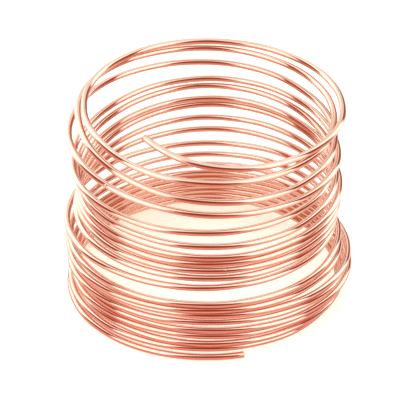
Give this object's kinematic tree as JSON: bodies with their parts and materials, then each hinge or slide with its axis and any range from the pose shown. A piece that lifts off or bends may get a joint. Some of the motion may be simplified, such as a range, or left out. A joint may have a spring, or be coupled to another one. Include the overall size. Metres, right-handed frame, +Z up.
{
  "type": "capillary tube",
  "caption": "Loose open coil of thin bare copper capillary tube, standing on its end, with both ends cut square and open.",
  "frame": {"origin": "on the floor, under the middle of the coil's box", "axes": "+Z up along the coil's axis, -Y to the front, where the lower end lies, +X to the right"},
  "size_m": [0.1114, 0.115, 0.0864],
  "materials": {
    "copper": "bright drawn copper, bare and unlacquered"
  },
  "bodies": {
    "root": {"capillary_tube": "copper"}
  },
  "joints": []
}
